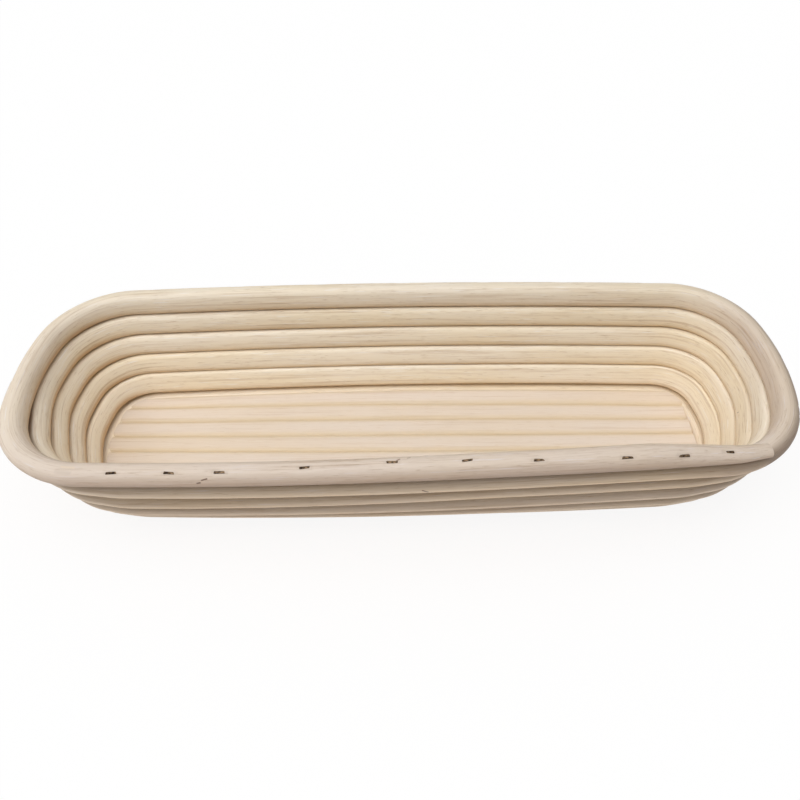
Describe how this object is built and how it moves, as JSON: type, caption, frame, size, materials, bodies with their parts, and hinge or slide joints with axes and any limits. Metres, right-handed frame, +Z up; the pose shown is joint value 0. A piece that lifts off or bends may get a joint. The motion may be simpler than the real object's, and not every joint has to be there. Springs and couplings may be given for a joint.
{
  "type": "proofing basket",
  "caption": "Long rattan proofing basket: a flared rounded wall wound from one cane, a floor of straight canes and wire staples, open at the top to hold rising bread dough.",
  "frame": {"origin": "on the table, under the middle of the basket", "axes": "+X along the basket's length, +Y from the front side to the rear side, +Z up"},
  "size_m": [0.3516, 0.1252, 0.0726],
  "materials": {
    "wall_cane": "bare peeled rattan",
    "floor_cane": "bare planed rattan",
    "staple_wire": "bronze-lacquered steel wire, dulled"
  },
  "bodies": {
    "root": {"wall_winding": "wall_cane", "floor_cane_1": "floor_cane", "floor_cane_2": "floor_cane", "floor_cane_3": "floor_cane", "floor_cane_4": "floor_cane", "floor_cane_5": "floor_cane", "floor_cane_6": "floor_cane", "rim_staple_01": "staple_wire", "rim_staple_02": "staple_wire", "rim_staple_03": "staple_wire", "rim_staple_04": "staple_wire", "rim_staple_05": "staple_wire", "rim_staple_06": "staple_wire", "rim_staple_07": "staple_wire", "rim_staple_08": "staple_wire", "rim_staple_09": "staple_wire", "rim_staple_10": "staple_wire", "rim_staple_11": "staple_wire", "rim_staple_12": "staple_wire", "rim_staple_13": "staple_wire", "rim_staple_14": "staple_wire", "rim_staple_15": "staple_wire", "rim_staple_16": "staple_wire", "rim_staple_17": "staple_wire", "rim_staple_18": "staple_wire", "rim_staple_19": "staple_wire", "rim_staple_20": "staple_wire", "rim_staple_21": "staple_wire", "rim_staple_22": "staple_wire", "rim_staple_23": "staple_wire", "rim_staple_24": "staple_wire", "lap_staple_1_1": "staple_wire", "lap_staple_1_2": "staple_wire", "lap_staple_1_3": "staple_wire", "lap_staple_2_1": "staple_wire", "lap_staple_2_2": "staple_wire", "lap_staple_2_3": "staple_wire", "lap_staple_3_1": "staple_wire", "lap_staple_3_2": "staple_wire", "lap_staple_3_3": "staple_wire", "lap_staple_4_1": "staple_wire", "lap_staple_4_2": "staple_wire", "lap_staple_4_3": "staple_wire", "floor_staple_01": "staple_wire", "floor_staple_02": "staple_wire", "floor_staple_03": "staple_wire", "floor_staple_04": "staple_wire", "floor_staple_05": "staple_wire", "floor_staple_06": "staple_wire", "floor_staple_07": "staple_wire", "floor_staple_08": "staple_wire", "floor_staple_09": "staple_wire", "floor_staple_10": "staple_wire", "floor_staple_11": "staple_wire", "floor_staple_12": "staple_wire"}
  },
  "joints": []
}
